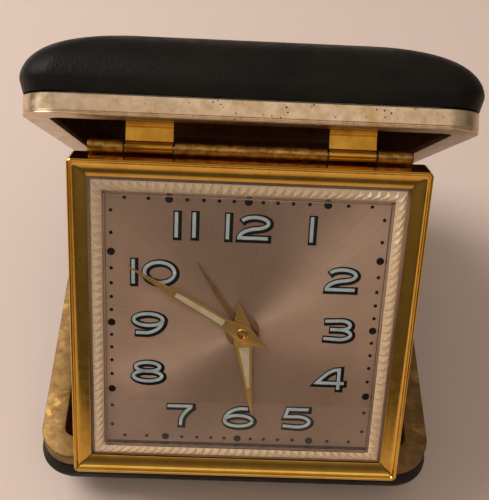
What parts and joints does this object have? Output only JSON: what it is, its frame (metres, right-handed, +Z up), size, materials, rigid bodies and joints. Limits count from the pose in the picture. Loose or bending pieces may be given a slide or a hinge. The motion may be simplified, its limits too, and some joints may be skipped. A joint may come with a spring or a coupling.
{
  "type": "folding travel alarm clock",
  "caption": "Folding travel alarm clock: two leather-covered shells hinged at the rear, with a square brass-framed clock hinged to the lid and standing on the base's front rim.",
  "frame": {"origin": "centre of the flat underside of the base", "axes": "+Z up, dial facing -Y, +X to the right as seen from the front; the rear hinge runs along X"},
  "size_m": [0.0782, 0.0918, 0.0838],
  "materials": {
    "leather": "fine grained, semi-gloss black",
    "rim_metal": "worn champagne nickel plate with brass and dark pitting",
    "steel": "plain steel",
    "lining": "dark brown lining",
    "gilt": "polished gilt brass",
    "aged_brass": "aged, mottled brass",
    "brass": "satin brass",
    "crystal": "clear acrylic with a moulded toothed border",
    "dial": "warm silver sunburst brushing"
  },
  "bodies": {
    "base": {"base_leather_cover": "leather", "base_pan": "steel", "base_lining": "lining", "base_rim": "rim_metal", "base_hinge_leaf": "aged_brass", "rear_hinge_pin": "steel"},
    "catch": {"catch_button": "gilt", "catch_hook": "steel", "catch_spring": "steel"},
    "lid": {"lid_leather_cover": "leather", "lid_pan": "steel", "lid_lining": "lining", "lid_rim": "rim_metal", "lid_hinge_leaf": "aged_brass", "left_bracket": "gilt", "right_bracket": "gilt"},
    "clock": {"clock_hinge_leaf": "aged_brass", "clock_hinge_pin": "steel", "bezel_frame": "gilt", "crystal": "crystal", "dial": "dial", "movement_case": "gilt", "front_plate": "brass", "rear_plate": "brass", "pillar_1": "brass", "pillar_2": "brass", "pillar_3": "brass", "pillar_4": "brass", "back_screw_1": "steel", "back_screw_2": "steel"},
    "minute": {"minute_hand": "gilt", "cannon_pinion": "brass"},
    "hour": {"hour_hand": "gilt", "hour_wheel": "brass"},
    "motion_wheel": {"minute_wheel": "brass"},
    "time_setting": {"time_set_arbor": "steel", "time_set_knob": "aged_brass"},
    "alarm_setting": {"alarm_set_arbor": "steel", "alarm_set_knob": "aged_brass"},
    "alarm_pointer": {"alarm_hand": "gilt", "alarm_wheel": "brass"},
    "centre": {"centre_wheel": "brass"},
    "third": {"third_wheel": "brass"},
    "fourth": {"fourth_wheel": "brass"},
    "escape": {"escape_wheel": "brass"},
    "lever": {"pallet_lever": "steel"},
    "balance": {"balance_wheel": "brass", "hairspring": "steel"},
    "drive_barrel": {"going_barrel": "brass"},
    "ringing_barrel": {"alarm_barrel": "brass"},
    "time_winder": {"time_winding_key": "aged_brass", "going_barrel_arbor": "steel"},
    "alarm_winder": {"alarm_winding_key": "aged_brass", "alarm_barrel_arbor": "steel"},
    "hammer": {"alarm_hammer": "steel"},
    "alarm_silencer": {"alarm_stop": "aged_brass"},
    "rate_lever": {"regulator": "aged_brass"}
  },
  "joints": [
    {"name": "lid_hinge", "type": "hinge", "parent": "base", "child": "lid", "pos_m": [0, 0.04115, 0.0155], "axis": [-1, 0, 0], "range_deg": [0, 69]},
    {"name": "clock_hinge", "type": "hinge", "parent": "lid", "child": "clock", "pos_m": [0, -0.00984, 0.07086], "axis": [-1, 0, 0], "range_deg": [-69, 0]},
    {"name": "catch_press", "type": "slide", "parent": "base", "child": "catch", "axis": [0, 1, 0], "range_m": [0, 0.0012], "stiffness_N_per_m": 300},
    {"name": "minute_turn", "type": "hinge", "parent": "clock", "child": "minute", "pos_m": [0, -0.02203, 0.03982], "axis": [0, 0.8685, -0.4957], "continuous": true},
    {"name": "hour_turn", "type": "hinge", "parent": "clock", "child": "hour", "pos_m": [0, -0.02203, 0.03982], "axis": [0, 0.8685, -0.4957], "continuous": true},
    {"name": "motion_wheel_turn", "type": "hinge", "parent": "clock", "child": "motion_wheel", "pos_m": [0, -0.02471, 0.03513], "axis": [0, 0.8685, -0.4957], "continuous": true},
    {"name": "time_set_turn", "type": "hinge", "parent": "clock", "child": "time_setting", "pos_m": [0, -0.02724, 0.0307], "axis": [0, 0.8685, -0.4957], "continuous": true},
    {"name": "alarm_set_turn", "type": "hinge", "parent": "clock", "child": "alarm_setting", "pos_m": [0.0065, -0.02025, 0.04295], "axis": [0, 0.8685, -0.4957], "continuous": true},
    {"name": "alarm_pointer_turn", "type": "hinge", "parent": "clock", "child": "alarm_pointer", "pos_m": [0, -0.02203, 0.03982], "axis": [0, 0.8685, -0.4957], "continuous": true},
    {"name": "fourth_turn", "type": "hinge", "parent": "clock", "child": "fourth", "pos_m": [0.0085, -0.01584, 0.05068], "axis": [0, 0.8685, -0.4957], "continuous": true},
    {"name": "third_turn", "type": "hinge", "parent": "clock", "child": "third", "pos_m": [0, -0.01782, 0.0472], "axis": [0, 0.8685, -0.4957], "continuous": true},
    {"name": "centre_turn", "type": "hinge", "parent": "clock", "child": "centre", "pos_m": [0, -0.02203, 0.03982], "axis": [0, 0.8685, -0.4957], "continuous": true},
    {"name": "escape_turn", "type": "hinge", "parent": "clock", "child": "escape", "pos_m": [0.0015, -0.01261, 0.05632], "axis": [0, 0.8685, -0.4957], "continuous": true},
    {"name": "barrel_turn", "type": "hinge", "parent": "clock", "child": "drive_barrel", "pos_m": [-0.0125, -0.02575, 0.03331], "axis": [0, 0.8685, -0.4957], "continuous": true},
    {"name": "balance_swing", "type": "hinge", "parent": "clock", "child": "balance", "pos_m": [-0.012, -0.01559, 0.05111], "axis": [0, 0.8685, -0.4957], "range_deg": [-120, 120]},
    {"name": "lever_rock", "type": "hinge", "parent": "clock", "child": "lever", "pos_m": [-0.0045, -0.01311, 0.05545], "axis": [0, 0.8685, -0.4957], "range_deg": [-5, 5]},
    {"name": "time_winding", "type": "hinge", "parent": "clock", "child": "time_winder", "pos_m": [-0.0125, -0.02575, 0.03331], "axis": [0, 0.8685, -0.4957], "continuous": true},
    {"name": "alarm_winding", "type": "hinge", "parent": "clock", "child": "alarm_winder", "pos_m": [0.0125, -0.02575, 0.03331], "axis": [0, 0.8685, -0.4957], "continuous": true},
    {"name": "alarm_barrel_turn", "type": "hinge", "parent": "clock", "child": "ringing_barrel", "pos_m": [0.0125, -0.02575, 0.03331], "axis": [0, 0.8685, -0.4957], "continuous": true},
    {"name": "hammer_swing", "type": "hinge", "parent": "clock", "child": "hammer", "pos_m": [0.0185, -0.02005, 0.0433], "axis": [0, 0.8685, -0.4957], "range_deg": [0, 12]},
    {"name": "alarm_stop_pull", "type": "slide", "parent": "clock", "child": "alarm_silencer", "axis": [0, 0.8685, -0.4957], "range_m": [0, 0.0015]},
    {"name": "rate_adjust", "type": "hinge", "parent": "clock", "child": "rate_lever", "pos_m": [-0.012, -0.01559, 0.05111], "axis": [0, 0.8685, -0.4957], "range_deg": [-15, 15]}
  ],
  "couplings": [
    {"joint": "clock_hinge", "follows": "lid_hinge", "ratio": -1},
    {"joint": "hour_turn", "follows": "minute_turn", "ratio": 0.083333},
    {"joint": "motion_wheel_turn", "follows": "minute_turn", "ratio": -0.33333},
    {"joint": "time_set_turn", "follows": "minute_turn", "ratio": 0.88889},
    {"joint": "alarm_pointer_turn", "follows": "alarm_set_turn", "ratio": -0.66667},
    {"joint": "third_turn", "follows": "fourth_turn", "ratio": -0.13333},
    {"joint": "centre_turn", "follows": "fourth_turn", "ratio": 0.016667},
    {"joint": "escape_turn", "follows": "fourth_turn", "ratio": -8},
    {"joint": "barrel_turn", "follows": "fourth_turn", "ratio": -0.002778},
    {"joint": "lever_rock", "follows": "balance_swing", "ratio": 0.04}
  ]
}
